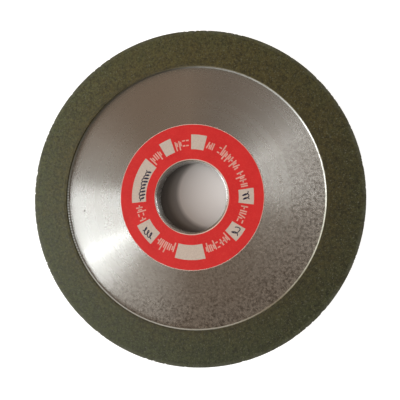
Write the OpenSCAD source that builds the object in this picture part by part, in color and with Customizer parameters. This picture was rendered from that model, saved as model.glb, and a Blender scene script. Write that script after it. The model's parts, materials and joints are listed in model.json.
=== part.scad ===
// Resin-bond diamond grinding wheel: a turned aluminium body with a straight bore, a transition
// layer keyed into its outer wall, the diamond rim, and a paper label stuck on the front face.
// The wheel's axis is Z, its front face looks along +Z, and the origin is the wheel's centre.

/* [Rim] */
// Outside diameter of the wheel
wheel_d = 150; // [140:1:200]
// Thickness of the rim along the axis
rim_t = 12; // [11:0.5:20]
// Radial width of the whole rim, from the metal body to the outside
rim_w = 16; // [8:0.2:20]
// Radial thickness of the transition layer under the diamond layer
transition_t = 1.2; // [0.8:0.1:3]
// Edge break on the four corners of the diamond rim
rim_edge = 0.25; // [0.1:0.05:0.5]

/* [Body] */
// Diameter of the bore
bore_d = 32; // [20:1:40]
// Thickness of the body between its two clamping faces
body_t = 8; // [6:0.5:8.5]
// Chamfer at both ends of the bore
bore_chamfer = 0.35; // [0.2:0.05:1]
// Radial width of the bevelled lip at the edge of each face
bevel_w = 0.3; // [0.3:0.1:2]
// Height of the bevelled lip above the face
bevel_h = 0.8; // [0.4:0.1:1]

/* [Keying] */
// Width of each groove that locks the resin to the body
key_w = 1.6; // [1:0.1:2]
// Depth of each groove
key_depth = 0.8; // [0.4:0.1:1.5]
// Distance of each groove from the middle plane
key_offset = 2; // [1.5:0.1:2]

/* [Label] */
// Outside diameter of the label
label_d = 65.8; // [50:0.2:80]
// Diameter of the label's hole
label_hole_d = 33.5; // [33:0.1:48]
// How far the label's outline is cut off centre from its hole
label_shift = 0.2; // [0:0.1:1]
// Thickness of the printed paper
paper_t = 0.12; // [0.1:0.01:0.2]
// Thickness of the adhesive film
adhesive_t = 0.05; // [0.04:0.01:0.1]

/* [Hidden] */
$fn = 180;
wheel_r = wheel_d / 2;
bore_r = bore_d / 2;
body_r = wheel_r - rim_w;
diamond_r = body_r + transition_t;
half_body = body_t / 2;
half_rim = rim_t / 2;
lip_z = half_body + bevel_h;
lip_land = 0.1;
key_r = body_r - key_depth;
key_top = key_offset + key_w / 2;
key_bottom = key_offset - key_w / 2;

// Wall of the keyed joint between body and resin, from its top end to its bottom end
function key_wall() = [
    [body_r, key_top],
    [key_r, key_top],
    [key_r, key_bottom],
    [body_r, key_bottom],
    [body_r, -key_bottom],
    [key_r, -key_bottom],
    [key_r, -key_top],
    [body_r, -key_top]
];

// A flat ring whose outline is shifted to one side of its hole
module label_blank(thickness) {
    difference() {
        translate([-label_shift, 0, 0])
            cylinder(h = thickness, d = label_d);
        translate([0, 0, -thickness])
            cylinder(h = 3 * thickness, d = label_hole_d);
    }
}

// Turned aluminium body with recessed faces and a raised, bevelled lip at its edge
module core_disc() {
    color([0.74, 0.73, 0.70])
        rotate_extrude()
            polygon(concat(
                [
                    [bore_r, half_body - bore_chamfer],
                    [bore_r + bore_chamfer, half_body],
                    [body_r - lip_land - bevel_w, half_body],
                    [body_r - lip_land, lip_z],
                    [body_r, lip_z]
                ],
                key_wall(),
                [
                    [body_r, -lip_z],
                    [body_r - lip_land, -lip_z],
                    [body_r - lip_land - bevel_w, -half_body],
                    [bore_r + bore_chamfer, -half_body],
                    [bore_r, -half_body + bore_chamfer]
                ]
            ));
}

// Resin layer without diamond, pressed into the grooves of the body
module transition_ring() {
    color([0.25, 0.23, 0.16])
        rotate_extrude()
            polygon(concat(
                [
                    [diamond_r, -half_rim],
                    [diamond_r, half_rim],
                    [body_r, half_rim]
                ],
                key_wall(),
                [[body_r, -half_rim]]
            ));
}

// Working layer: one continuous ring of diamond grit in resin
module diamond_rim() {
    color([0.31, 0.30, 0.22])
        rotate_extrude()
            polygon([
                [diamond_r, -half_rim],
                [wheel_r - rim_edge, -half_rim],
                [wheel_r, -half_rim + rim_edge],
                [wheel_r, half_rim - rim_edge],
                [wheel_r - rim_edge, half_rim],
                [diamond_r, half_rim]
            ]);
}

// Film of adhesive under the label
module label_adhesive() {
    color([0.85, 0.82, 0.70])
        translate([0, 0, half_body])
            label_blank(adhesive_t);
}

// Printed paper ring, which also serves as the blotter under the clamping flange
module label_paper() {
    color([0.79, 0.20, 0.18])
        translate([0, 0, half_body + adhesive_t])
            label_blank(paper_t);
}

core_disc();
transition_ring();
diamond_rim();
label_adhesive();
label_paper();
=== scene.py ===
"""Looks of a diamond grinding wheel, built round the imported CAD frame, in metres, with its axis on Z."""

import json
import math
import random

import bpy
import numpy as np
from mathutils import Matrix, Quaternion, Vector


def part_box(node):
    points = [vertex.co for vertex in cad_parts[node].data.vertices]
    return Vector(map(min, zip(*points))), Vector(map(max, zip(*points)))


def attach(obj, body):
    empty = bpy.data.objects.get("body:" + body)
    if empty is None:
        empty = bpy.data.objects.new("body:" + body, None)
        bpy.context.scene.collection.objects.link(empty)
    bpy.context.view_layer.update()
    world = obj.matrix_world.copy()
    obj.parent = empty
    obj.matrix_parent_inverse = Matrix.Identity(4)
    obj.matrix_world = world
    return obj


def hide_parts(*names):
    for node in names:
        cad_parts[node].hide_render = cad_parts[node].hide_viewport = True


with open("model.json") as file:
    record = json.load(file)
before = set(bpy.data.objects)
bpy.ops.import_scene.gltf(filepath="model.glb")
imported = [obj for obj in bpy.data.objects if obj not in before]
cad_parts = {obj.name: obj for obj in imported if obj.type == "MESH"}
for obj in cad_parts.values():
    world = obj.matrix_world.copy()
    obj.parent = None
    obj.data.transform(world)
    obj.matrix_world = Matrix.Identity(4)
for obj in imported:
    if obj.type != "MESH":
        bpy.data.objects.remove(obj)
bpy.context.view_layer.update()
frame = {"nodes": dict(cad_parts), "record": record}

MM = 0.001
BODY = "root"
SEED = 7

# ---------------------------------------------------------------- sizes taken from the frame


def record_mount(name):
    """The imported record's entry for a mount."""
    return next(m for m in frame["record"]["mounts"] if m["name"] == name)


def outer_radius(node):
    """Half a round node's width."""
    low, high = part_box(node)
    return (high.y - low.y) / 2


BORE_R = record_mount("bore")["dims"]["r_mm"] * MM
WALL_HALF = record_mount("bore")["dims"]["length_mm"] * MM / 2
FACE_Z = -record_mount("back_clamp_face")["pos_m"][2]
CHAMFER = FACE_Z - WALL_HALF
BODY_R = outer_radius("core_disc")
LIP_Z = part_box("core_disc")[1].z
RING_R = outer_radius("transition_ring")
WHEEL_R = outer_radius("diamond_rim")
RIM_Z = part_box("diamond_rim")[1].z
LABEL_R = outer_radius("label_paper")
LABEL_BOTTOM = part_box("label_paper")[0].z
LABEL_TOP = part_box("label_paper")[1].z
LABEL_X = (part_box("label_paper")[0].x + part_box("label_paper")[1].x) / 2
FLOOR_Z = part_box("diamond_rim")[0].z

# Sizes inside the nodes' boxes, as in the CAD model
BEVEL_W = 0.3 * MM
LIP_LAND = 0.1 * MM
RIM_EDGE = 0.25 * MM
LABEL_HOLE_R = 16.75 * MM
KEY_DEPTH = 0.8 * MM
KEY_TOP = 2.8 * MM
KEY_BOTTOM = 1.2 * MM
FACE_END_R = BODY_R - LIP_LAND - BEVEL_W

# ---------------------------------------------------------------- meshes

# How near to a face a point of a profile counts as being on it
ON_FACE = 0.02 * MM
# Straight steps in a rounded corner's arc, and the share of a side that an arc may take
ARC_STEPS = 2
ARC_SHARE = 0.45
# Bend in degrees above which an edge is shaded sharp, on most pieces and on the grainy rim
SHARP_BEND = 30
RIM_SHARP_BEND = 50
# A wavy edge's next wave has this share of the last one's count, down to the fewest; then all are scaled
WAVE_STEP = 0.61
FEWEST_WAVES = 3
WAVE_SUM = 2.5


def placed(name, data):
    """A new object in the scene."""
    made = bpy.data.objects.new(name, data)
    bpy.context.scene.collection.objects.link(made)
    return made


def new_piece(name, verts, faces, material, slot_name, sharp=SHARP_BEND):
    """A mesh piece that rides on the wheel's only body."""
    mesh = bpy.data.meshes.new(name)
    mesh.from_pydata([tuple(v) for v in verts], [], [tuple(f) for f in faces])
    mesh.materials.append(material)
    mesh.validate()
    mesh.update()
    mesh.shade_smooth()
    mesh.set_sharp_from_angle(angle=math.radians(sharp))
    piece = placed(name, mesh)
    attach(piece, BODY)
    return piece


def lathe(profile, segments, offset):
    """Vertices and faces of a closed profile of (radius, height), anticlockwise, turned about Z.

    offset(radius, height, angle) gives arrays of extra radius and height, one row for each angle.
    """
    profile = np.asarray(profile, float)
    angles = np.arange(segments) * 2 * math.pi / segments
    radius, angle = np.meshgrid(profile[:, 0], angles)
    height = np.meshgrid(profile[:, 1], angles)[0]
    more_r, more_z = offset(radius, height, angle)
    radius = radius + more_r
    height = height + more_z
    verts = np.stack([radius * np.cos(angle), radius * np.sin(angle), height], -1).reshape(-1, 3)
    count = len(profile)
    here = np.arange(segments)[:, None] * count
    there = (np.arange(segments)[:, None] + 1) % segments * count
    j = np.arange(count)
    k = (j + 1) % count
    faces = np.stack([here + j, there + j, there + k, here + k], -1).reshape(-1, 4)
    return verts, faces


def rounded(corners, radius, plain):
    """A closed outline with each corner turned into a small arc, apart from those listed in plain."""
    points = [np.array(c, float) for c in corners]
    result = []
    for i, corner in enumerate(points):
        if i in plain:
            result.append(corner)
            continue
        before = points[i - 1] - corner
        after = points[(i + 1) % len(points)] - corner
        reach = min(radius, ARC_SHARE * np.linalg.norm(before), ARC_SHARE * np.linalg.norm(after))
        start = corner + before / np.linalg.norm(before) * reach
        end = corner + after / np.linalg.norm(after) * reach
        for t in np.linspace(0, 1, ARC_STEPS + 1):
            result.append((1 - t) ** 2 * start + 2 * t * (1 - t) * corner + t ** 2 * end)
    return result


def refined(outline, pitch):
    """An outline with points added so that no side but the closing one is longer than pitch."""
    points = [np.array(p, float) for p in outline]
    result = []
    for start, end in zip(points, points[1:]):
        count = max(1, math.ceil(np.linalg.norm(end - start) / pitch))
        result += [start + (end - start) * n / count for n in range(count)]
    return result + [points[-1]]


def supported(outline, longest, margin):
    """A closed outline with a point near each end of every long side, so that the side shades flat."""
    result = []
    for i, start in enumerate(outline):
        start = np.array(start, float)
        side = np.array(outline[(i + 1) % len(outline)], float) - start
        length = np.linalg.norm(side)
        result.append(start)
        if length > longest:
            result += [start + side * margin / length, start + side * (1 - margin / length)]
    return result


def grain_field(shape, seed):
    """Random values from 0 to 1 over a lathe's angles and profile points, softened a little."""
    field = np.random.default_rng(seed).normal(size=shape)
    field = (field + np.roll(field, 1, 0) + np.roll(field, 1, 1) + np.roll(field, (1, 1), (0, 1))) / 2
    return np.clip(0.5 + field / 5, 0, 1)


def wavy(angle, count, seed, roughness=0.6):
    """A smooth periodic function of the angle, about -1 to 1, made of ever fewer waves a turn."""
    draw = np.random.default_rng(seed)
    total = np.zeros_like(angle)
    level = 1.0
    while count >= FEWEST_WAVES:
        total = total + level * np.sin(round(count) * angle + draw.uniform(0, 2 * math.pi))
        count = count * WAVE_STEP
        level = level * roughness ** 0.5
    return total / WAVE_SUM


# ---------------------------------------------------------------- material nodes


class Shader:
    """A material's node tree, with short calls for the nodes that the recipes below use."""

    def __init__(self, name):
        self.material = bpy.data.materials.new(name)
        self.material.use_nodes = True
        self.tree = self.material.node_tree
        self.principled = self.tree.nodes["Principled BSDF"]
        self.place = self.node("ShaderNodeTexCoord").outputs["Object"]

    def node(self, kind, **settings):
        """A new node with its settings."""
        made = self.tree.nodes.new(kind)
        for key, value in settings.items():
            setattr(made, key, value)
        return made

    def link(self, source, socket):
        """Joins a node's output to a socket."""
        self.tree.links.new(source, socket)

    def fill(self, socket, value):
        """Links a node's output to a socket, or sets the socket to a plain value."""
        if isinstance(value, bpy.types.NodeSocket):
            self.link(value, socket)
        else:
            socket.default_value = value

    def set(self, **values):
        """Fills sockets of the surface shader; an underscore in a name stands for a space."""
        for key, value in values.items():
            self.fill(self.principled.inputs[key.replace("_", " ")], value)

    def math(self, operation, a, b=0.0, clamp=False):
        """The result of an operation on one or two values."""
        made = self.node("ShaderNodeMath", operation=operation, use_clamp=clamp)
        self.fill(made.inputs[0], a)
        self.fill(made.inputs[1], b)
        return made.outputs[0]

    def times(self, a, b):
        """The product of two values."""
        return self.math("MULTIPLY", a, b)

    def plus(self, a, b, clamp=False):
        """The sum of two values, held between 0 and 1 if clamped."""
        return self.math("ADD", a, b, clamp)

    def vector(self, operation, a, b=(0, 0, 0), out="Vector"):
        """The result of an operation on one or two vectors."""
        made = self.node("ShaderNodeVectorMath", operation=operation)
        self.fill(made.inputs[0], a)
        self.fill(made.inputs[1], b)
        return made.outputs[out]

    def noise(self, vector, scale, detail=2.0, roughness=0.5):
        """A noise pattern from 0 to 1, with its scale in cells per metre."""
        made = self.node("ShaderNodeTexNoise")
        self.fill(made.inputs["Vector"], vector)
        self.fill(made.inputs["Scale"], scale)
        self.fill(made.inputs["Detail"], detail)
        self.fill(made.inputs["Roughness"], roughness)
        return made.outputs["Fac"]

    def span(self, value, low, high, to_low=0.0, to_high=1.0):
        """Carries a value from one range to another and holds it at the ends."""
        made = self.node("ShaderNodeMapRange", clamp=True)
        self.fill(made.inputs["Value"], value)
        self.fill(made.inputs["From Min"], low)
        self.fill(made.inputs["From Max"], high)
        self.fill(made.inputs["To Min"], to_low)
        self.fill(made.inputs["To Max"], to_high)
        return made.outputs["Result"]

    def mix(self, amount, a, b, blend="MIX"):
        """Colour a, gone over to colour b by an amount from 0 to 1."""
        made = self.node("ShaderNodeMix", data_type="RGBA", blend_type=blend)
        self.fill(made.inputs[0], amount)
        self.fill(made.inputs[6], a)
        self.fill(made.inputs[7], b)
        return made.outputs[2]

    def bump(self, height, distance, strength, normal=None):
        """A normal bent by a pattern of heights, on top of another normal if there is one."""
        made = self.node("ShaderNodeBump")
        self.fill(made.inputs["Height"], height)
        self.fill(made.inputs["Distance"], distance)
        self.fill(made.inputs["Strength"], strength)
        if normal is not None:
            self.link(normal, made.inputs["Normal"])
        return made.outputs["Normal"]

    def radius(self):
        """Distance from the wheel's axis, in metres."""
        return self.vector("LENGTH", self.vector("MULTIPLY", self.place, (1, 1, 0)), out="Value")

    def angle(self):
        """Angle about the wheel's axis, in radians."""
        parts = self.node("ShaderNodeSeparateXYZ")
        self.link(self.place, parts.inputs[0])
        return self.math("ARCTAN2", parts.outputs["Y"], parts.outputs["X"])

    def height(self):
        """Height above the wheel's middle plane, in metres."""
        parts = self.node("ShaderNodeSeparateXYZ")
        self.link(self.place, parts.inputs[0])
        return parts.outputs["Z"]

    def towards(self, azimuth):
        """Distance from the wheel's axis in one direction, in metres."""
        a = math.radians(azimuth)
        return self.vector("DOT_PRODUCT", self.place, (math.cos(a), math.sin(a), 0), out="Value")


def tint(r, g, b):
    """A colour, in linear light."""
    return (r, g, b, 1.0)


# ---------------------------------------------------------------- the metal's look

# Scales of the noise patterns in cells per metre, and depths of the two that are felt
GROOVE_SCALE = 3100.0
GROOVE_DEPTH = 0.002 * MM
BAND_SCALE = 300.0
MOTTLE_SCALE = 820.0
MOTTLE_DEPTH = 0.006 * MM
SPECK_SCALE = 1450.0
STAIN_SCALE = 60.0

# Tones of the metal and of the marks on it, and of the painted highlight, light and shade on its lip
METAL = {
    "bare": tint(0.60, 0.61, 0.605),
    "scuffed near label": tint(0.44, 0.43, 0.41),
    "scuffed near lip": tint(0.235, 0.226, 0.21),
    "stained": tint(0.50, 0.44, 0.39),
    "dark speck": tint(0.16, 0.15, 0.13),
    "light speck": tint(0.90, 0.89, 0.87),
    "nick": tint(0.05, 0.04, 0.035),
    "painted_lip_highlight": tint(0.80, 0.82, 0.73),
    "painted_lip_light": tint(0.90, 0.97, 0.96),
    "foot_shade": tint(0.06, 0.058, 0.05),
    "painted_lip_shade": tint(0.12, 0.10, 0.05),
    "chatter_shade": tint(0.10, 0.10, 0.09),
}

# Marks on the front. An azimuth is in degrees about the wheel's axis. A reach is the two distances from
# the axis, towards the azimuth, where a mark begins and where it is full. Rings are two such radii.
SCUFF_AZIMUTH = -50
SCUFF_REACH = (-3 * MM, 33 * MM)
SCUFF_RINGS = (38 * MM, 54 * MM)
# Painted highlight on the lip, towards one side
LIP_HIGHLIGHT_AZIMUTH = 300
LIP_HIGHLIGHT_REACH = (15 * MM, 45 * MM)
# Painted light on the lip, pale and nearly non-metallic, towards one side
PAINTED_LIP_AZIMUTH = 224
PAINTED_LIP_LIGHT_REACH = (5 * MM, 50 * MM)
# Painted shade in the crease at the foot of the lip's bevel, on the side of the painted light
FOOT_SHADE_REACH = (40 * MM, 52 * MM)
FOOT_SHADE_INNER_RINGS = (FACE_END_R - 0.3 * MM, FACE_END_R - 0.2 * MM)
FOOT_SHADE_OUTER_RINGS = (FACE_END_R, FACE_END_R - 0.08 * MM)
LIP_RINGS = (FACE_END_R - 0.05 * MM, FACE_END_R)
# Painted shade on the lip towards one side, where the rim's wall shades it
LIP_SHADE_AZIMUTH = 135
LIP_SHADE_REACH = (38 * MM, 50 * MM)
CHATTER_START = 171
CHATTER_END = 215
CHATTER_PITCH = 1.25
CHATTER_MIDDLE = (CHATTER_START + CHATTER_END) / 2
CHATTER_EDGE = BODY_R * math.cos(math.radians(CHATTER_END - CHATTER_MIDDLE))
CHATTER_REACH = (CHATTER_EDGE, CHATTER_EDGE + 2 * MM)

# Azimuth and brightness of each sector darkened as painted shade, to dim the metal's reflection there, and
# how closely a point has to face it
SHADED_SECTORS = [(60, 0.72), (181, 0.84)]
SECTOR_FACING = (math.cos(math.radians(32)), math.cos(math.radians(12)))

NICK_PLACE = (-50.6 * MM, -6.3 * MM, FACE_Z)
NICK_SIZE = (0.25 * MM, 0.5 * MM)


def circling(s, radius):
    """A position that changes along the radius but hardly round the turn, for patterns in circles."""
    combined = s.node("ShaderNodeCombineXYZ")
    s.link(radius, combined.inputs["X"])
    waver = s.vector("MULTIPLY", s.place, (0.02, 0.02, 0.5))
    return s.vector("ADD", combined.outputs["Vector"], waver)


def face_colour(s, radius, mottle, scuffed):
    """Bare metal, scuffed and speckled towards one side, with two sectors darkened as painted shade and
    one nick.
    """
    dull = s.mix(s.span(radius, *SCUFF_RINGS), METAL["scuffed near label"], METAL["scuffed near lip"])
    colour = s.mix(s.times(s.span(mottle, 0.43, 0.66), scuffed), METAL["bare"], dull)
    stain = s.noise(s.place, STAIN_SCALE)
    colour = s.mix(s.span(stain, 0.45, 0.8, 0.0, 0.2), colour, METAL["stained"])
    # Painted shade: the metal is darkened in these sectors to dim its reflection there
    for azimuth, brightness in SHADED_SECTORS:
        facing = s.math("DIVIDE", s.towards(azimuth), radius)
        colour = s.mix(1.0, colour, s.span(facing, *SECTOR_FACING, 1.0, brightness), "MULTIPLY")
    specks = s.noise(s.place, SPECK_SCALE, 1.0)
    spotted = s.span(scuffed, 0.5, 1.0)
    dark = s.times(s.span(specks, 0.60, 0.72, 0.0, 0.5), spotted)
    colour = s.mix(dark, colour, METAL["dark speck"])
    light = s.times(s.span(specks, 0.40, 0.30, 0.0, 0.6), spotted)
    colour = s.mix(light, colour, METAL["light speck"])
    nick = s.vector("DISTANCE", s.place, NICK_PLACE, out="Value")
    return s.mix(s.span(nick, *NICK_SIZE, 0.9, 0.0), colour, METAL["nick"])


def lip_colour(s, radius, on_lip, painted_lip_light, colour):
    """Painted light and shade on the lip: a painted highlight, pale painted light on a shaded stretch,
    painted shade on another, dark stripes of painted shade over the chatter marks, and a line of painted
    shade at its foot.
    """
    # Painted highlight: a pale stretch of the lip on one side, standing in for the light its bevel catches
    painted_lip_highlight = s.times(on_lip, s.span(s.towards(LIP_HIGHLIGHT_AZIMUTH), *LIP_HIGHLIGHT_REACH))
    colour = s.mix(painted_lip_highlight, colour, METAL["painted_lip_highlight"])
    # Painted light: a stretch of the lip that stands in shade is given a pale tone
    colour = s.mix(painted_lip_light, colour, METAL["painted_lip_light"])
    # Painted shade: a dark line in the crease at the foot of the lip's bevel
    foot_shade = s.times(s.span(radius, *FOOT_SHADE_INNER_RINGS), s.span(radius, *FOOT_SHADE_OUTER_RINGS))
    foot_shade = s.times(foot_shade, s.span(s.towards(PAINTED_LIP_AZIMUTH), *FOOT_SHADE_REACH, 0.0, 0.55))
    colour = s.mix(foot_shade, colour, METAL["foot_shade"])
    # Painted shade: the lip is darkened where the rim's wall would shade it
    painted_lip_shade = s.times(on_lip, s.span(s.towards(LIP_SHADE_AZIMUTH), *LIP_SHADE_REACH, 0.0, 0.6))
    colour = s.mix(painted_lip_shade, colour, METAL["painted_lip_shade"])
    # Painted shade: dark stripes over the chatter marks stand in for the shading of their facets
    hatch = s.span(s.math("SINE", s.times(s.angle(), 360 / CHATTER_PITCH)), -0.2, 0.5)
    hatched = s.span(s.towards(CHATTER_MIDDLE), *CHATTER_REACH, 0.0, 0.85)
    return s.mix(s.times(on_lip, s.times(hatched, hatch)), colour, METAL["chatter_shade"])


def turned_aluminium():
    """Face-turned aluminium: fine circular tool marks, so its gloss spreads along the radius."""
    s = Shader("turned_aluminium")
    radius = s.radius()
    circles = circling(s, radius)
    grooves = s.noise(circles, GROOVE_SCALE, 3.0, 0.7)
    bands = s.noise(circles, BAND_SCALE)
    mottle = s.noise(s.place, MOTTLE_SCALE, 3.0, 0.6)
    scuffed = s.span(s.towards(SCUFF_AZIMUTH), *SCUFF_REACH, 0.06, 1.0)
    on_lip = s.span(radius, *LIP_RINGS)
    # Painted light: the shaded stretch of the lip on one side is made pale
    painted_lip_light = s.times(on_lip, s.span(s.towards(PAINTED_LIP_AZIMUTH), *PAINTED_LIP_LIGHT_REACH))
    colour = face_colour(s, radius, mottle, scuffed)
    colour = lip_colour(s, radius, on_lip, painted_lip_light, colour)
    rough = s.plus(s.span(bands, 0.3, 0.7, 0.25, 0.27), s.times(mottle, 0.02))
    rough = s.plus(rough, s.times(on_lip, 0.1))
    normal = s.bump(grooves, GROOVE_DEPTH, 0.5)
    normal = s.bump(s.times(mottle, scuffed), MOTTLE_DEPTH, 0.5, normal)
    s.set(Base_Color=colour, Roughness=rough, Anisotropic=1.0, Anisotropic_Rotation=0.25)
    # The painted-light stretch of the lip is made nearly non-metallic
    s.set(Metallic=s.span(painted_lip_light, 0, 1, 1.0, 0.1), Normal=normal)
    tangent = s.node("ShaderNodeTangent", direction_type="RADIAL", axis="Z")
    s.link(tangent.outputs["Tangent"], s.principled.inputs["Tangent"])
    return s.material


# ---------------------------------------------------------------- the resin's look

COARSE_SCALE = 950.0
FINE_SCALE = 2100.0
PATCH_SCALE = 260.0
GRIT_DEPTH = 0.03 * MM

# Shading of the low and high grains, and the tones of pits, of a painted highlight along the outer edge,
# and of painted light on the shaded inner wall
RESIN = {
    "low": tint(0.40, 0.40, 0.33),
    "high": tint(1.66, 1.70, 2.15),
    "pit": tint(0.006, 0.006, 0.003),
    "painted_edge_highlight": tint(0.12, 0.125, 0.092),
    # Pale tone painted on the shaded inner wall as painted light, not dust
    "dust": tint(0.20, 0.175, 0.10),
}

# Browner tone, greener tone and pale grains of each of the two resins
RING_TINTS = [tint(0.044, 0.035, 0.007), tint(0.038, 0.0385, 0.010), tint(0.09, 0.09, 0.06)]
RIM_TINTS = [tint(0.046, 0.037, 0.0068), tint(0.037, 0.042, 0.0108), tint(0.15, 0.155, 0.11)]

# Azimuth and reach, as for the metal, of the greener side, of the side the ends are painted lighter on as
# painted light, and of the inner wall's painted light
GREEN_AZIMUTH = 240
GREEN_REACH = (-65 * MM, 65 * MM)
LIT_SIDE_AZIMUTH = 148
LIT_SIDE_REACH = (-70 * MM, 70 * MM)
WALL_LIGHT_AZIMUTH = 30
WALL_LIGHT_REACH = (-30 * MM, 10 * MM)
WALL_LIGHT_RINGS = (BODY_R + 0.4 * MM, BODY_R + 0.2 * MM)
WALL_LIGHT_HEIGHTS = (RIM_Z - 0.15 * MM, RIM_Z - 0.35 * MM)
EDGE_HIGHLIGHT_RINGS = (WHEEL_R - 1.9 * MM, WHEEL_R - 0.3 * MM)
END_HEIGHTS = (RIM_Z - 1.2 * MM, RIM_Z - 0.2 * MM)


def grit_resin(name, brown, green, grain):
    """Ground resin bond with fine grit: browner towards the bore, with pits and pale grains, its ends
    painted lighter on one side, a painted highlight along the outer edge and painted light on the inner
    wall.
    """
    s = Shader(name)
    radius = s.radius()
    height = s.height()
    coarse = s.noise(s.place, COARSE_SCALE, 3.0, 0.7)
    fine = s.noise(s.place, FINE_SCALE, 2.0, 0.6)
    patches = s.noise(s.place, PATCH_SCALE, 3.0, 0.6)
    hue = s.plus(s.span(radius, BODY_R, WHEEL_R, -0.35, 0.35), s.span(patches, 0.3, 0.7, 0.25, 0.75))
    hue = s.plus(hue, s.span(s.towards(GREEN_AZIMUTH), *GREEN_REACH, -0.4, 0.4), clamp=True)
    colour = s.mix(hue, brown, green)
    shade = s.mix(s.span(coarse, 0.34, 0.66), RESIN["low"], RESIN["high"])
    colour = s.mix(1.0, colour, shade, "MULTIPLY")
    on_end = s.span(s.math("ABSOLUTE", height), *END_HEIGHTS)
    # Painted light: the resin's ends are lighter towards one side and darker towards the other
    lit_side = s.span(s.towards(LIT_SIDE_AZIMUTH), *LIT_SIDE_REACH, 0.84, 1.52)
    colour = s.mix(on_end, colour, lit_side, "MULTIPLY")
    colour = s.mix(s.span(fine, 0.60, 0.70, 0.0, 0.75), colour, grain)
    colour = s.mix(s.span(fine, 0.28, 0.38, 0.85, 0.0), colour, RESIN["pit"])
    # Painted highlight: a paler band along the rim's outer edge, where the rounded edge catches light
    painted_edge_highlight = s.times(s.span(radius, *EDGE_HIGHLIGHT_RINGS), s.span(patches, 0.4, 0.6, 0.2, 0.6))
    colour = s.mix(s.times(painted_edge_highlight, on_end), colour, RESIN["painted_edge_highlight"])
    # Painted light, not dust: the ring's inner wall, which stands in shade, is lightened with the pale
    # dust tone towards one side
    dust = s.times(s.span(radius, *WALL_LIGHT_RINGS, 0.0, 0.8), s.span(height, *WALL_LIGHT_HEIGHTS))
    dust = s.times(dust, s.span(s.towards(WALL_LIGHT_AZIMUTH), *WALL_LIGHT_REACH))
    colour = s.mix(dust, colour, RESIN["dust"])
    rough = s.span(coarse, 0.3, 0.7, 0.50, 0.68)
    grit = s.plus(fine, s.times(coarse, 1.5))
    s.set(Base_Color=colour, Roughness=rough, Normal=s.bump(grit, GRIT_DEPTH, 0.7))
    return s.material


# ---------------------------------------------------------------- the label's look

FIBRE_SCALE = 1500.0
FIBRE_DEPTH = 0.01 * MM
INK_FIBRE_SCALE = 1800.0
INK_FIBRE_DEPTH = 0.008 * MM
INK_CLOUD_SCALE = 130.0
GLUE_CLOUD_SCALE = 400.0
GLUE_DUST_SCALE = 2400.0
GLUE_DUST_DEPTH = 0.01 * MM

PAPER = {
    "pale": tint(0.69, 0.59, 0.52),
    "dark": tint(0.60, 0.50, 0.44),
    "edge": tint(0.84, 0.62, 0.56),
}
GLUE = {
    "pale": tint(0.66, 0.60, 0.44),
    "dark": tint(0.52, 0.45, 0.31),
    "dust": tint(0.10, 0.09, 0.07),
}

# Main, darker and lighter tone of each ink
RED_TINTS = [tint(0.77, 0.030, 0.030), tint(0.70, 0.023, 0.024), tint(0.82, 0.068, 0.057)]
PALE_TINTS = [tint(0.82, 0.46, 0.40), tint(0.76, 0.40, 0.34), tint(0.86, 0.54, 0.47)]
PEN_TINTS = [tint(0.03, 0.026, 0.07), tint(0.018, 0.017, 0.05), tint(0.08, 0.07, 0.12)]

# Circles between which the bare paper turns to the tone of its cut edges
INNER_EDGE = (LABEL_HOLE_R + 0.45 * MM, LABEL_HOLE_R + 0.85 * MM)
OUTER_EDGE = (LABEL_R - 1.4 * MM, LABEL_R - 1.0 * MM)


def printed_ink(name, colour, dark, light):
    """Matt printing ink that follows the paper's fibres."""
    s = Shader(name)
    fibre = s.noise(s.place, INK_FIBRE_SCALE, 3.0, 0.6)
    cloud = s.noise(s.place, INK_CLOUD_SCALE)
    shade = s.mix(s.span(cloud, 0.3, 0.7), colour, dark)
    shade = s.mix(s.span(fibre, 0.5, 0.75, 0.0, 0.5), shade, light)
    s.set(Base_Color=shade, Roughness=s.span(fibre, 0.3, 0.7, 0.5, 0.62))
    s.set(Specular_IOR_Level=0.25, Normal=s.bump(fibre, INK_FIBRE_DEPTH, 0.5))
    return s.material


def bare_paper():
    """Uncoated paper: warm grey in the windows, pinker where its cut edges show."""
    s = Shader("bare_paper")
    fibre = s.noise(s.place, FIBRE_SCALE, 3.0, 0.6)
    colour = s.mix(s.span(fibre, 0.35, 0.7), PAPER["pale"], PAPER["dark"])
    radius = s.radius()
    edge = s.math("MAXIMUM", s.span(radius, *INNER_EDGE, 1.0, 0.0), s.span(radius, *OUTER_EDGE))
    colour = s.mix(edge, colour, PAPER["edge"])
    s.set(Base_Color=colour, Roughness=0.65, Normal=s.bump(fibre, FIBRE_DEPTH, 0.5))
    s.set(Specular_IOR_Level=0.3)
    return s.material


def adhesive_film():
    """Yellowed adhesive with dust on it."""
    s = Shader("adhesive_film")
    cloud = s.noise(s.place, GLUE_CLOUD_SCALE, 3.0, 0.6)
    dust = s.noise(s.place, GLUE_DUST_SCALE, 2.0, 0.6)
    colour = s.mix(cloud, GLUE["pale"], GLUE["dark"])
    colour = s.mix(s.span(dust, 0.6, 0.72, 0.0, 0.7), colour, GLUE["dust"])
    s.set(Base_Color=colour, Roughness=0.35, Normal=s.bump(dust, GLUE_DUST_DEPTH, 0.4))
    return s.material


# ---------------------------------------------------------------- the metal body

BODY_SEGMENTS = 1440
BODY_ROUNDING = 0.06 * MM
# A side longer than this gets a point at this margin from each of its ends
LONG_SIDE = 3 * MM
SIDE_MARGIN = 0.2 * MM
CHATTER_DEPTH = 0.06 * MM
# Degrees over which the chatter grows from each end of its stretch
CHATTER_FADE = 10
CHATTER_WAVES = 40
LIP_WAVER = 0.02 * MM
LIP_WAVES = 90
BEVEL_START = FACE_END_R - 0.08 * MM
BEVEL_END = BODY_R - 0.05 * MM


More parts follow.
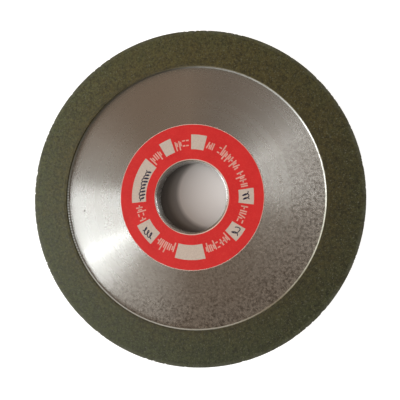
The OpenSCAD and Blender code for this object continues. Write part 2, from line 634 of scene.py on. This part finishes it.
def body_half():
    """The body's outline above its middle plane, from the outer wall in to the bore."""
    return [
        (BODY_R, KEY_BOTTOM),
        (BODY_R - KEY_DEPTH, KEY_BOTTOM),
        (BODY_R - KEY_DEPTH, KEY_TOP),
        (BODY_R, KEY_TOP),
        (BODY_R, LIP_Z),
        (BODY_R - LIP_LAND, LIP_Z),
        (FACE_END_R, FACE_Z),
        (BORE_R + CHAMFER, FACE_Z),
        (BORE_R, WALL_HALF),
    ]


def mirrored(half):
    """A whole outline from its upper half."""
    return half + [(r, -z) for r, z in reversed(half)]


def chatter(radius, height, angle):
    """Shallow marks of the tool on part of the front lip's bevel, and a wavering edge all round."""
    on_bevel = (radius > BEVEL_START) & (radius < BEVEL_END) & (height > FACE_Z - ON_FACE)
    degrees = np.degrees(angle)
    to_end = np.minimum(degrees - CHATTER_START, CHATTER_END - degrees)
    fade = np.clip(to_end / CHATTER_FADE, 0, 1)
    wave = np.sin(2 * math.pi * degrees / CHATTER_PITCH + wavy(angle, CHATTER_WAVES, SEED))
    depth = CHATTER_DEPTH * fade * wave + LIP_WAVER * wavy(angle, LIP_WAVES, SEED + 1)
    return np.where(on_bevel, depth, 0.0), np.zeros_like(height)


def make_body(material):
    """The turned metal body, with its bore, bevelled lips and the grooves that lock the resin."""
    corners = mirrored(body_half())
    in_grooves = [n for n in range(len(corners)) if n < 4 or n >= len(corners) - 4]
    outline = supported(rounded(corners, BODY_ROUNDING, in_grooves), LONG_SIDE, SIDE_MARGIN)
    verts, faces = lathe(outline, BODY_SEGMENTS, chatter)
    piece = new_piece("turned_body", verts, faces, material, "core_aluminium")
    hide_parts("core_disc")


# ---------------------------------------------------------------- the resin ring and the abrasive rim

RESIN_SEGMENTS = 940
GRAIN_PITCH = 0.5 * MM
GRAIN_DEPTH = 0.09 * MM
RIM_ROUNDING = 0.1 * MM
CHIP_DEPTH = 0.55 * MM
CHIP_REACH = 0.9 * MM
CHIP_WAVES = 420
CHIP_GROUPS = 150
# A chip or a crumbled place is where its waves rise above this
CHIP_RARITY = 0.8
CRUMBLE_RARITY = 0.25
# The back keeps only the chips that have others this many steps of the turn away
BACK_CHIPS_TURN = 97
CRUMBLE_DEPTH = 0.12 * MM
CRUMBLE_REACH = 0.4 * MM
CRUMBLE_WAVES = 330
RAGGED = 0.8
# Width of the flat strip that the ring keeps beside the rim
FLAT_JOINT = 0.1 * MM
# Extra points of the ring's outline, across its end from the inner edge and down its wall
RING_END_STEPS = (0.7 * MM, 0.3 * MM)
RING_WALL_STEP = 0.4 * MM


def rim_surface(radius, height, angle):
    """Grain over the whole rim, and small chips along its two outer edges; nothing stands proud."""
    grain = grain_field(radius.shape, SEED + 2) * GRAIN_DEPTH
    top = np.abs(height) > RIM_Z - ON_FACE
    side = radius > WHEEL_R - ON_FACE
    edge = np.hypot(WHEEL_R - radius, RIM_Z - np.abs(height))
    near = np.clip(1 - edge / CHIP_REACH, 0, 1)
    waves = wavy(angle, CHIP_WAVES, SEED + 3, RAGGED) + wavy(angle, CHIP_GROUPS, SEED + 4)
    chips = np.clip(waves - CHIP_RARITY, 0, 1)
    chips = chips * np.where(height > 0, 1.0, np.roll(chips, BACK_CHIPS_TURN, 0))
    chip = near * chips * CHIP_DEPTH
    off_joint = np.where(radius < RING_R + ON_FACE, 0.0, 1.0)
    more_r = -(np.where(side, grain, 0.0) + chip) * off_joint
    more_z = -np.sign(height) * (np.where(top, grain, 0.0) + 0.5 * chip) * off_joint
    return more_r, more_z


def make_rim(material):
    """The working layer: one ring of diamond grit in resin."""
    corners = [
        (RING_R, -RIM_Z),
        (WHEEL_R - RIM_EDGE, -RIM_Z),
        (WHEEL_R, -RIM_Z + RIM_EDGE),
        (WHEEL_R, RIM_Z - RIM_EDGE),
        (WHEEL_R - RIM_EDGE, RIM_Z),
        (RING_R, RIM_Z),
    ]
    outline = refined(rounded(corners, RIM_ROUNDING, (0, 5)), GRAIN_PITCH)
    verts, faces = lathe(outline, RESIN_SEGMENTS, rim_surface)
    piece = new_piece("abrasive_rim", verts, faces, material, "diamond_resin", RIM_SHARP_BEND)
    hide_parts("diamond_rim")


def ring_surface(radius, height, angle):
    """Grain on the resin ring's flat ends, and a slightly crumbled inner edge."""
    end = np.abs(height) > RIM_Z - ON_FACE
    grain = grain_field(radius.shape, SEED + 5) * GRAIN_DEPTH
    inner = np.clip(1 - (radius - BODY_R) / CRUMBLE_REACH, 0, 1)
    waves = wavy(angle, CRUMBLE_WAVES, SEED + 6, RAGGED)
    crumble = np.clip(waves - CRUMBLE_RARITY, 0, 1) * CRUMBLE_DEPTH
    off_joint = np.clip((RING_R - radius) / FLAT_JOINT, 0, 1)
    more_z = -np.sign(height) * np.where(end, (grain + inner * crumble) * off_joint, 0.0)
    return np.where(end, inner * crumble, 0.0), more_z


def make_ring(material):
    """The resin without diamond between body and rim, with the ribs that fill the body's grooves."""
    half = [
        (RING_R, RIM_Z),
        *[(BODY_R + step, RIM_Z) for step in RING_END_STEPS],
        (BODY_R, RIM_Z),
        (BODY_R, RIM_Z - RING_WALL_STEP),
        (BODY_R, KEY_TOP),
        (BODY_R - KEY_DEPTH, KEY_TOP),
        (BODY_R - KEY_DEPTH, KEY_BOTTOM),
        (BODY_R, KEY_BOTTOM),
    ]
    verts, faces = lathe(mirrored(half), RESIN_SEGMENTS, ring_surface)
    piece = new_piece("bond_ring", verts, faces, material, "transition_resin")
    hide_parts("transition_ring")


# ---------------------------------------------------------------- the label

# Width of a cell of the label's grid, in degrees
INK_STEP = 0.5
SHEET_TOP = LABEL_TOP - 0.035 * MM
INK_TOP = LABEL_TOP - 0.02 * MM
MARK_TOP = LABEL_TOP - 0.008 * MM

# Width of the bare border, and in such widths: the shift of the print's hole and the outer border
INK_BORDER = 0.12 * MM
INK_OFFSET = 1.6
INK_OUTSIDE = 1.8

# Circles of the windows and of the print. The long window lies one cell further in than the others.
WINDOW_INNER = 21.5 * MM
WINDOW_OUTER = 28.2 * MM
LONG_INNER = 20.9 * MM
LONG_OUTER = 27.6 * MM
PRINT_INNER = 22.9 * MM
PRINT_OUTER = 27.9 * MM
GRID_CELLS = 5
WINDOW_CELLS = slice(2, 4)
LONG_CELLS = slice(1, 3)

# Write-in windows, from one angle to another about the wheel's axis, in degrees
WINDOWS = [(-7, 8), (75, 90), (110, 122), (207.5, 229), (255, 284), (316, 330)]
LONG_WINDOW = (140, 185.5)
# Stretches of print between the windows
PRINTED = [(10, 73), (92, 108), (124, 138.5), (188, 206), (231, 253), (286, 314), (332, 351)]


def label_edge(angle):
    """Distance from the wheel's axis to the label's outline, which isn't centred on its hole."""
    across = LABEL_X * np.sin(angle)
    return LABEL_X * np.cos(angle) + np.sqrt(LABEL_R ** 2 - across ** 2)


def polar_plate(radii, filled, low, high):
    """A closed flat plate made of the filled cells of a ring-shaped grid.

    radii holds one row for each angle and one column for each circle; filled is one smaller in columns.
    """
    rows, columns = radii.shape
    angles = np.arange(rows) * 2 * math.pi / rows
    angles = angles[:, None]
    flat = np.stack([radii * np.cos(angles), radii * np.sin(angles)], -1).reshape(-1, 2)
    verts = [(x, y, high) for x, y in flat] + [(x, y, low) for x, y in flat]
    under = len(flat)
    faces = []
    for i in range(rows):
        nxt = (i + 1) % rows
        for j in range(columns - 1):
            if not filled[i, j]:
                continue
            a, b, c, d = i * columns + j, i * columns + j + 1, nxt * columns + j + 1, nxt * columns + j
            faces.append((a, b, c, d))
            faces.append((d + under, c + under, b + under, a + under))
            if j == 0 or not filled[i, j - 1]:
                faces.append((d, d + under, a + under, a))
            if j == columns - 2 or not filled[i, j + 1]:
                faces.append((b, b + under, c + under, c))
            if not filled[i - 1, j]:
                faces.append((a, a + under, b + under, b))
            if not filled[nxt, j]:
                faces.append((c, c + under, d + under, d))
    used = sorted({v for f in faces for v in f})
    place = {v: n for n, v in enumerate(used)}
    return [verts[v] for v in used], [[place[v] for v in f] for f in faces]


def label_grid(border):
    """Angles and circles of the label's grid, with its inner and outer circles moved in by border."""
    rows = round(360 / INK_STEP)
    angles = np.arange(rows) * 2 * math.pi / rows
    circles = [LONG_INNER, WINDOW_INNER, LONG_OUTER, WINDOW_OUTER]
    inner = LABEL_HOLE_R + border * (1 + INK_OFFSET * (1 + np.cos(angles)))
    columns = [inner] + [np.full(rows, c) for c in circles]
    columns.append(label_edge(angles) - INK_OUTSIDE * border)
    return angles, np.stack(columns, 1)


def within(angles, span):
    """Which grid cells lie between two angles in degrees."""
    middle = np.degrees(angles) + INK_STEP / 2
    return (middle - span[0]) % 360 < (span[1] - span[0]) % 360


def make_label(paper, ink):
    """The paper ring and the red print on it, which leaves a bare border and the write-in windows."""
    angles, radii = label_grid(0)
    whole = np.full((len(angles), GRID_CELLS), True)
    verts, faces = polar_plate(radii, whole, LABEL_BOTTOM, SHEET_TOP)
    sheet = new_piece("label_sheet", verts, faces, paper, "label_print")
    angles, radii = label_grid(INK_BORDER)
    printed = whole.copy()
    for window in WINDOWS:
        printed[within(angles, window), WINDOW_CELLS] = False
    printed[within(angles, LONG_WINDOW), LONG_CELLS] = False
    verts, faces = polar_plate(radii, printed, SHEET_TOP, INK_TOP)
    new_piece("label_red_print", verts, faces, ink, "label_print")
    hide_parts("label_paper")


def ribbon(points, width, low, high):
    """A closed thin bar of one width that follows points in the plane."""
    points = np.asarray(points, float)
    along = np.gradient(points, axis=0)
    along /= np.linalg.norm(along, axis=1, keepdims=True)
    side = np.stack([-along[:, 1], along[:, 0]], -1) * width / 2
    left, right = points + side, points - side
    count = len(points)
    flat = np.concatenate([left, right])
    verts = [(x, y, high) for x, y in flat] + [(x, y, low) for x, y in flat]
    under = 2 * count
    faces = []
    for i in range(count - 1):
        a, b, c, d = i, count + i, count + i + 1, i + 1
        faces.append((a, b, c, d))
        faces.append((d + under, c + under, b + under, a + under))
        faces.append((a, d, d + under, a + under))
        faces.append((c, b, b + under, c + under))
    faces.append((0, under, count + under, count))
    faces.append((2 * count - 1, 2 * count - 1 + under, count - 1 + under, count - 1))
    return verts, faces


def joined(parts):
    """One list of vertices and faces from several."""
    verts, faces = [], []
    for more_verts, more_faces in parts:
        start = len(verts)
        verts += list(more_verts)
        faces += [[start + v for v in f] for f in more_faces]
    return verts, faces


def around(degrees, radius):
    """A point in the plane from its angle and its distance from the wheel's axis."""
    a = math.radians(degrees)
    return (radius * math.cos(a), radius * math.sin(a))


# Plain strokes that stand for the print: each is a pair of (along, up) points in a unit cell
TICKS = {
    "tall": [((0.3, 0.0), (0.3, 1.0)), ((0.75, 0.0), (0.75, 0.62))],
    "pair": [((0.25, 0.0), (0.25, 0.62)), ((0.75, 0.0), (0.75, 0.62))],
    "stack": [((0.15, 0.08), (0.85, 0.08)), ((0.15, 0.54), (0.85, 0.54))],
    "step": [((0.25, 0.0), (0.25, 0.62)), ((0.25, 0.3), (0.85, 0.3))],
    "slant": [((0.15, 0.0), (0.55, 0.62)), ((0.85, 0.0), (0.85, 0.4))],
    "low": [((0.3, -0.25), (0.3, 0.62)), ((0.7, 0.1), (0.7, 0.5))],
}
TICK_PITCH = 1.9 * MM
TICK_WIDTH = 0.58 * MM

# A row of more than this many cells is broken by gaps at these places
LONG_ROW = 12
ROW_GAPS = (2, 10)


def print_marks():
    """Rows of plain strokes where the label carries its print."""
    draw = random.Random(SEED)
    names = sorted(TICKS)
    radius = (PRINT_INNER + PRINT_OUTER) / 2
    depth = PRINT_OUTER - PRINT_INNER
    parts = []
    for start, end in PRINTED:
        count = round(math.radians(end - start) * radius / TICK_PITCH)
        cell = (end - start) / count
        for n in range(count):
            if count > LONG_ROW and n in ROW_GAPS:
                continue
            for stroke in TICKS[draw.choice(names)]:
                ends = [around(end - (n + u) * cell, PRINT_INNER + v * depth) for u, v in stroke]
                parts.append(ribbon(np.linspace(*ends, 3), TICK_WIDTH, SHEET_TOP, MARK_TOP))
    return joined(parts)


# Scribbles of a pen in some of the windows: start and end angle, middle radius, height, loops
SCRIBBLES = [
    (148, 183.5, 22.8 * MM, 2.3 * MM, 9),
    (213, 225, 25.6 * MM, 2.4 * MM, 3),
    (319, 327, 25.4 * MM, 2.6 * MM, 1.5),
    (-3.5, 4.5, 24.6 * MM, 2.6 * MM, 2),
]
PEN_WIDTH = 0.42 * MM
# Points in a loop, width of a loop as a share of its room, and how much the loops differ in height
PEN_POINTS = 26
PEN_SWING = 0.9
PEN_UNEVEN = 0.25


def pen_marks():
    """Scribbled loops that stand for the hand-written entries."""
    parts = []
    for start, end, radius, height, loops in SCRIBBLES:
        turns = np.linspace(0, loops * 2 * math.pi, round(loops * PEN_POINTS))
        along = turns / (loops * 2 * math.pi)
        swing = PEN_SWING * (end - start) / loops / 2
        size = 1 + PEN_UNEVEN * np.sin(2.3 * turns / loops + loops)
        degrees = start + (end - start) * along + swing * np.sin(turns + 0.6)
        radii = radius + height / 2 * np.cos(turns) * size
        points = [around(d, r) for d, r in zip(degrees, radii)]
        parts.append(ribbon(points, PEN_WIDTH, SHEET_TOP, MARK_TOP))
    return joined(parts)


def assign(node, material):
    """Gives a carried-over CAD node its material."""
    mesh = frame["nodes"][node].data
    mesh.materials.clear()
    mesh.materials.append(material)


# ---------------------------------------------------------------- stage, light, camera

CAMERA_DISTANCE = 215 * MM
CAMERA_TILT = math.radians(10.6)
CAMERA_SIDE = math.radians(-12.6)
CAMERA_SHIFT = (-4.06 * MM, 1.36 * MM)
CAMERA_LENS = 43.14
SENSOR_WIDTH = 36
CLIP_NEAR = 0.01
CLIP_FAR = 20

FLOOR_HALF = 4.0
FLOOR_GLOW = 0.95
FLOOR_SCALE = 6.0
FLOOR_PALE = tint(0.44, 0.44, 0.44)
FLOOR_DARK = tint(0.42, 0.42, 0.42)
FLOOR_SHEET = tint(0.79, 0.755, 0.76)
FLOOR_SHEET_END = (30 * MM, 50 * MM)
BACKDROP = tint(1.0, 1.0, 1.0)

# Painted shadow on the sheet: discs about as wide as the bore, outside which it is darker, stand in for
# the wheel's shadow seen through the bore: centre and brightness
FLOOR_PAINTED_SHADOWS = [((8.2 * MM, 2.2 * MM, FLOOR_Z), 0.45), ((3.9 * MM, 1.0 * MM, FLOOR_Z), 0.6)]
PAINTED_SHADOW_EDGE = (BORE_R - 0.5 * MM, BORE_R + 1.5 * MM)

LIGHT_DISTANCE = 1.0
LIGHT_COLOUR = (0.97, 1.0, 1.0)

# Soft panels: name, azimuth, elevation and roll in degrees, width and height in metres, radiance
PANELS = [
    ("key", 188, 24, -6, 0.47, 0.94, 2.5),
    ("side", 200.6, 25, 2, 0.06, 0.76, 8.0),
    ("top", 193, 58, -19, 0.41, 0.09, 5.9),
    ("fill", 18, 9, 0, 0.5, 0.2, 6.5),
]
GLOW_AZIMUTH = 198.5
GLOW_ELEVATION = 5
GLOW_WIDTH = 67
GLOW = tint(2.55, 2.5, 2.35)
ROOM_SUNNY = tint(0.30, 0.20, 0.132)
ROOM_SHADY = tint(0.21, 0.192, 0.17)
ROOM_AZIMUTH = 120
HORIZON = tint(0.9, 0.85, 0.76)
HORIZON_AZIMUTH = 65
HORIZON_ELEVATION = -25
HORIZON_WIDTH = 52


def make_camera():
    """Above the front face, leaning a little towards one side, close enough for perspective."""
    side = Matrix.Rotation(CAMERA_SIDE, 3, "Z")
    tilt = Matrix.Rotation(CAMERA_TILT, 3, "Y")
    turn = side @ tilt @ side.transposed()
    eye = turn @ Vector((-CAMERA_SHIFT[0], -CAMERA_SHIFT[1], CAMERA_DISTANCE))
    camera = placed("camera", bpy.data.cameras.new("camera"))
    camera.matrix_world = Matrix.Translation(eye + Vector((0, 0, FACE_Z))) @ turn.to_4x4()
    camera.data.lens = CAMERA_LENS
    camera.data.sensor_width = SENSOR_WIDTH
    camera.data.clip_start = CLIP_NEAR
    camera.data.clip_end = CLIP_FAR
    bpy.context.scene.camera = camera


def direction(azimuth, elevation):
    """Unit vector towards a place on the dome round the wheel."""
    a = math.radians(azimuth)
    e = math.radians(elevation)
    return Vector((math.cos(a) * math.cos(e), math.sin(a) * math.cos(e), math.sin(e)))


def area_light(name, azimuth, elevation, roll, width, height, radiance):
    """A soft rectangular light that looks at the wheel's centre, unseen by the camera itself."""
    lamp = bpy.data.lights.new(name, "AREA")
    lamp.shape = "RECTANGLE"
    lamp.size = width
    lamp.size_y = height
    lamp.energy = radiance * math.pi * width * height
    lamp.color = LIGHT_COLOUR
    made = placed(name, lamp)
    away = direction(azimuth, elevation)
    made.location = away * LIGHT_DISTANCE
    made.rotation_mode = "QUATERNION"
    made.rotation_quaternion = away.to_track_quat("Z", "Y") @ Quaternion((0, 0, 1), math.radians(roll))
    made.visible_camera = False


def floor_material():
    """White paper that glows faintly, and under the wheel a grey sheet that shows through the bore, with a
    painted shadow on it.
    """
    s = Shader("pale_floor")
    tone = s.noise(s.place, FLOOR_SCALE, 3.0)
    outside = s.span(s.radius(), *FLOOR_SHEET_END)
    sheet = FLOOR_SHEET
    # Painted shadow: the sheet is darkened outside discs shifted from the bore
    for centre, brightness in FLOOR_PAINTED_SHADOWS:
        away = s.vector("DISTANCE", s.place, centre, out="Value")
        sheet = s.mix(1.0, sheet, s.span(away, *PAINTED_SHADOW_EDGE, 1.0, brightness), "MULTIPLY")
    white = s.mix(tone, FLOOR_DARK, FLOOR_PALE)
    s.set(Base_Color=s.mix(outside, sheet, white), Roughness=0.8)
    s.set(Emission_Color=tint(1, 1, 1), Emission_Strength=s.times(outside, FLOOR_GLOW))
    return s.material


def make_stage():
    """A wide plain floor at the height of the wheel's back."""
    mesh = bpy.data.meshes.new("floor")
    corners = [(-1, -1), (1, -1), (1, 1), (-1, 1)]
    verts = [(x * FLOOR_HALF, y * FLOOR_HALF, FLOOR_Z) for x, y in corners]
    mesh.from_pydata(verts, [], [(0, 1, 2, 3)])
    mesh.materials.append(floor_material())
    placed("floor", mesh)


def make_world():
    """A dim warm room, a low glow near the key light, a pale horizon, and a white backdrop."""
    world = bpy.data.worlds.new("studio")
    world.use_nodes = True
    nodes = world.node_tree.nodes
    links = world.node_tree.links
    around_us = nodes.new("ShaderNodeTexCoord").outputs["Generated"]

    def share(towards, low):
        """How far a direction faces a place on the dome: 1 at it, 0 where their dot product is low."""
        facing = nodes.new("ShaderNodeVectorMath")
        facing.operation = "DOT_PRODUCT"
        facing.inputs[1].default_value = towards
        links.new(around_us, facing.inputs[0])
        part = nodes.new("ShaderNodeMapRange")
        part.interpolation_type = "SMOOTHSTEP"
        part.inputs["From Min"].default_value = low
        part.inputs["From Max"].default_value = 1
        links.new(facing.outputs["Value"], part.inputs["Value"])
        return part.outputs["Result"]

    def blended(amount, first, second):
        """The first colour, gone over to the second by an amount from 0 to 1."""
        mix = nodes.new("ShaderNodeMix")
        mix.data_type = "RGBA"
        links.new(amount, mix.inputs[0])
        for socket, value in ((mix.inputs[6], first), (mix.inputs[7], second)):
            if isinstance(value, bpy.types.NodeSocket):
                links.new(value, socket)
            else:
                socket.default_value = value
        return mix.outputs[2]

    room = blended(share(direction(ROOM_AZIMUTH, 0), -1), ROOM_SHADY, ROOM_SUNNY)
    horizon = share(direction(HORIZON_AZIMUTH, HORIZON_ELEVATION), math.cos(math.radians(HORIZON_WIDTH)))
    room = blended(horizon, room, HORIZON)
    glow = share(direction(GLOW_AZIMUTH, GLOW_ELEVATION), math.cos(math.radians(GLOW_WIDTH)))
    background = nodes["Background"]
    links.new(blended(glow, room, GLOW), background.inputs["Color"])
    backdrop = nodes.new("ShaderNodeBackground")
    backdrop.inputs["Color"].default_value = BACKDROP
    blend = nodes.new("ShaderNodeMixShader")
    links.new(nodes.new("ShaderNodeLightPath").outputs["Is Camera Ray"], blend.inputs[0])
    links.new(background.outputs[0], blend.inputs[1])
    links.new(backdrop.outputs[0], blend.inputs[2])
    links.new(blend.outputs[0], nodes["World Output"].inputs["Surface"])
    bpy.context.scene.world = world


bpy.context.scene.view_settings.view_transform = "Standard"
make_camera()
make_stage()
make_world()
for panel in PANELS:
    area_light(*panel)

make_body(turned_aluminium())
make_ring(grit_resin("transition_resin", *RING_TINTS))
make_rim(grit_resin("diamond_resin", *RIM_TINTS))
make_label(bare_paper(), printed_ink("red_print", *RED_TINTS))
new_piece("label_pale_print", *print_marks(), printed_ink("pale_print", *PALE_TINTS), "label_print")
new_piece("label_pen_scribbles", *pen_marks(), printed_ink("pen_ink", *PEN_TINTS), "label_print")
assign("label_adhesive", adhesive_film())
